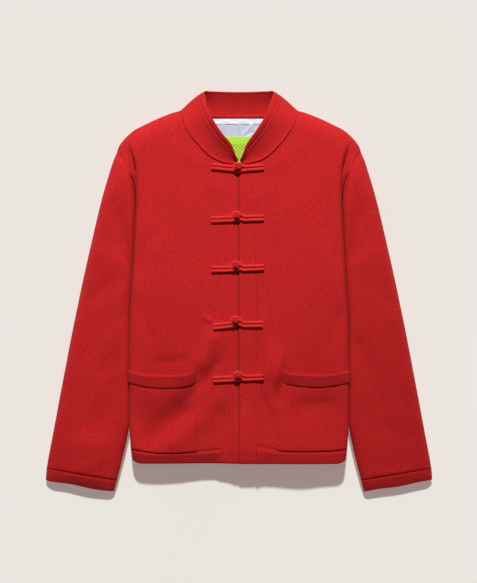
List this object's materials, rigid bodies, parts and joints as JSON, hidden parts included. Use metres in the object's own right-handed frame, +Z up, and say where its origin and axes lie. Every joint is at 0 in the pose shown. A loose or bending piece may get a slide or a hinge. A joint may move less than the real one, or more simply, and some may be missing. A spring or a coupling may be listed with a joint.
{
  "type": "tang jacket",
  "caption": "Knitted tang jacket laid out flat, with stand collar, knot-and-loop frogs, patch pockets, banded hem and cuffs.",
  "frame": {"origin": "on the flat underside of the back panel, on the jacket's centre line, 300 mm above the hem's edge", "axes": "+Z up from the surface that the jacket lies on, +Y towards the collar, +X towards the wearer's left sleeve"},
  "size_m": [0.679, 0.703, 0.0618],
  "materials": {
    "knit": "matte fine-gauge knit",
    "band": "matte knitted band",
    "braid": "soft round cord",
    "satin": "satin",
    "tape": "smooth tape",
    "label": "woven"
  },
  "bodies": {
    "root": {"back": "knit", "back_top": "knit", "front_left": "knit", "front_right": "knit", "sleeve_left": "knit", "sleeve_right": "knit", "pocket_left": "knit", "pocket_right": "knit", "hem_back": "band", "hem_left": "band", "hem_right": "band", "cuff_left": "band", "cuff_right": "band", "collar": "band", "pocket_band_left": "band", "pocket_band_right": "band", "frog_1_button": "braid", "frog_1_loop": "braid", "frog_2_button": "braid", "frog_2_loop": "braid", "frog_3_button": "braid", "frog_3_loop": "braid", "frog_4_button": "braid", "frog_4_loop": "braid", "frog_5_button": "braid", "frog_5_loop": "braid", "lining": "satin", "neck_tape": "tape", "label": "label"}
  },
  "joints": []
}
